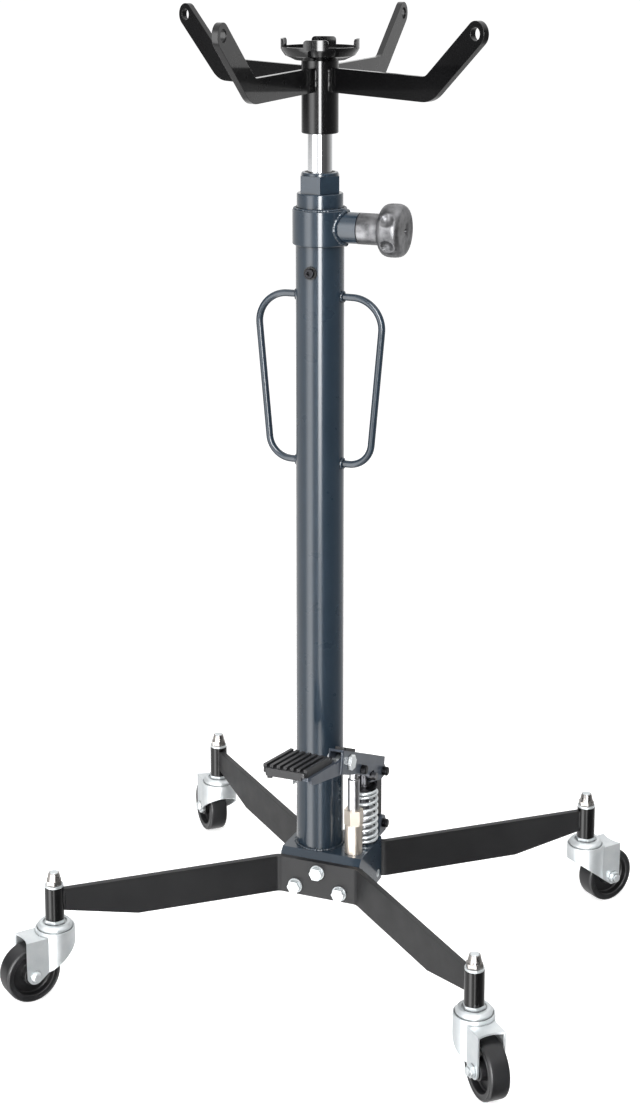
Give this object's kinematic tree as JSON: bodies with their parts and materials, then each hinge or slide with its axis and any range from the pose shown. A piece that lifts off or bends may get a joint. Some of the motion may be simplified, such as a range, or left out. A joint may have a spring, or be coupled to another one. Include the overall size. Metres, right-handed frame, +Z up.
{
  "type": "transmission jack",
  "caption": "Foot-pumped hydraulic transmission jack: slim column on a four-leg caster base, chrome ram, claw saddle with cradle arms, side release knob and pedal lever.",
  "frame": {"origin": "on the floor, under the middle of the base block", "axes": "+Z up along the column, -Y towards the pedal side (front), +X towards the pump and the release knob"},
  "size_m": [0.6976, 0.6418, 1.2735],
  "materials": {
    "enamel": "glossy blue-grey enamel",
    "leg_coat": "satin charcoal powder coat",
    "saddle_paint": "semi-gloss black paint",
    "lever_paint": "satin blue-grey paint",
    "chrome": "hard chrome, polished",
    "zinc": "bright zinc plate",
    "yellow_zinc": "pale yellow zinc plate",
    "bright_steel": "bright turned steel",
    "black_steel": "blackened",
    "cast_knob": "rough dark grey casting",
    "seal_rubber": "matte",
    "pad_rubber": "moulded, satin",
    "wheel_nylon": "moulded, satin black"
  },
  "bodies": {
    "base": {"base_block": "enamel", "threaded_plugs": "zinc", "relief_screw": "black_steel", "valve_balls": "bright_steel", "reservoir_tank": "enamel", "tank_collar": "enamel", "tank_cap": "enamel", "gland_nut": "enamel", "column_seals": "seal_rubber", "pressure_cylinder": "bright_steel", "release_boss": "enamel", "filler_plug": "black_steel", "handle_left": "enamel", "handle_right": "enamel", "front_leg": "leg_coat", "rear_leg": "leg_coat", "leg_bolts": "zinc", "leg_washers": "zinc", "caster_sockets": "saddle_paint", "caster_stems": "zinc", "caster_nuts": "zinc", "nut_washers": "zinc", "upper_races": "zinc", "race_balls": "bright_steel", "fast_pump_body": "yellow_zinc", "main_pump_body": "bright_steel", "link_lug": "lever_paint", "return_spring": "zinc"},
    "ram": {"ram": "chrome", "piston": "bright_steel", "piston_seal": "seal_rubber"},
    "saddle": {"saddle_sleeve": "saddle_paint", "saddle_cup": "saddle_paint", "cradle_arms": "saddle_paint"},
    "link": {"fulcrum_link": "black_steel", "link_pins": "black_steel"},
    "lever": {"pump_lever": "lever_paint", "fast_pump_pin": "black_steel", "pedal_arm": "lever_paint", "pedal_pad": "pad_rubber", "pedal_bolts": "zinc"},
    "main_plunger": {"main_plunger": "bright_steel", "spring_cap": "black_steel"},
    "fast_plunger": {"fast_plunger": "bright_steel"},
    "release_knob": {"release_knob": "cast_knob", "release_spindle": "bright_steel", "spindle_seal": "seal_rubber"},
    "release_rod": {"release_rod": "bright_steel"},
    "fork_1": {"fork_1": "zinc", "axle_1": "zinc"},
    "wheel_1": {"wheel_1": "wheel_nylon"},
    "fork_2": {"fork_2": "zinc", "axle_2": "zinc"},
    "wheel_2": {"wheel_2": "wheel_nylon"},
    "fork_3": {"fork_3": "zinc", "axle_3": "zinc"},
    "wheel_3": {"wheel_3": "wheel_nylon"},
    "fork_4": {"fork_4": "zinc", "axle_4": "zinc"},
    "wheel_4": {"wheel_4": "wheel_nylon"}
  },
  "joints": [
    {"name": "ram_slide", "type": "slide", "parent": "base", "child": "ram", "axis": [0, 0, 1], "range_m": [0, 0.8]},
    {"name": "saddle_turn", "type": "hinge", "parent": "ram", "child": "saddle", "pos_m": [-0.017, 0, 1.15], "axis": [0, 0, 1], "continuous": true},
    {"name": "lever_pump", "type": "hinge", "parent": "link", "child": "lever", "pos_m": [0.0385, 0.068, 0.234], "axis": [1, 0, 0], "range_deg": [0, 30], "stiffness_Nm_per_rad": 12, "springref_deg": -68.75},
    {"name": "link_swing", "type": "hinge", "parent": "base", "child": "link", "pos_m": [0.0385, 0.068, 0.158], "axis": [1, 0, 0], "range_deg": [0, 1.07]},
    {"name": "main_plunger_slide", "type": "slide", "parent": "base", "child": "main_plunger", "axis": [0, 0, 1], "range_m": [-0.02434, 0], "deforming": ["return_spring"]},
    {"name": "fast_plunger_slide", "type": "slide", "parent": "base", "child": "fast_plunger", "axis": [0, 0, 1], "range_m": [-0.04685, 0]},
    {"name": "release_turn", "type": "hinge", "parent": "base", "child": "release_knob", "pos_m": [0.05, 0, 0.997], "axis": [1, 0, 0], "range_deg": [0, 90]},
    {"name": "release_rod_slide", "type": "slide", "parent": "base", "child": "release_rod", "axis": [0, 0, 1], "range_m": [-0.00205, 0]},
    {"name": "swivel_1", "type": "hinge", "parent": "base", "child": "fork_1", "pos_m": [-0.288, -0.253, 0.088], "axis": [0, 0, 1], "continuous": true},
    {"name": "wheel_spin_1", "type": "hinge", "parent": "fork_1", "child": "wheel_1", "pos_m": [-0.30949, -0.28312, 0.038], "axis": [0.8141, -0.5807, 0], "continuous": true},
    {"name": "swivel_2", "type": "hinge", "parent": "base", "child": "fork_2", "pos_m": [0.288, -0.253, 0.088], "axis": [0, 0, 1], "continuous": true},
    {"name": "wheel_spin_2", "type": "hinge", "parent": "fork_2", "child": "wheel_2", "pos_m": [0.3137, -0.27962, 0.038], "axis": [0.7193, 0.6947, 0], "continuous": true},
    {"name": "swivel_3", "type": "hinge", "parent": "base", "child": "fork_3", "pos_m": [0.288, 0.253, 0.088], "axis": [0, 0, 1], "continuous": true},
    {"name": "wheel_spin_3", "type": "hinge", "parent": "fork_3", "child": "wheel_3", "pos_m": [0.30949, 0.28312, 0.038], "axis": [-0.8141, 0.5807, 0], "continuous": true},
    {"name": "swivel_4", "type": "hinge", "parent": "base", "child": "fork_4", "pos_m": [-0.288, 0.253, 0.088], "axis": [0, 0, 1], "continuous": true},
    {"name": "wheel_spin_4", "type": "hinge", "parent": "fork_4", "child": "wheel_4", "pos_m": [-0.3137, 0.27962, 0.038], "axis": [-0.7193, -0.6947, 0], "continuous": true}
  ],
  "couplings": [
    {"joint": "link_swing", "follows": "lever_pump", "ratio": 0.035},
    {"joint": "main_plunger_slide", "follows": "lever_pump", "m_per_rad": -0.0461},
    {"joint": "fast_plunger_slide", "follows": "lever_pump", "m_per_rad": -0.0891},
    {"joint": "release_rod_slide", "follows": "release_turn", "m_per_rad": -0.0012732}
  ]
}
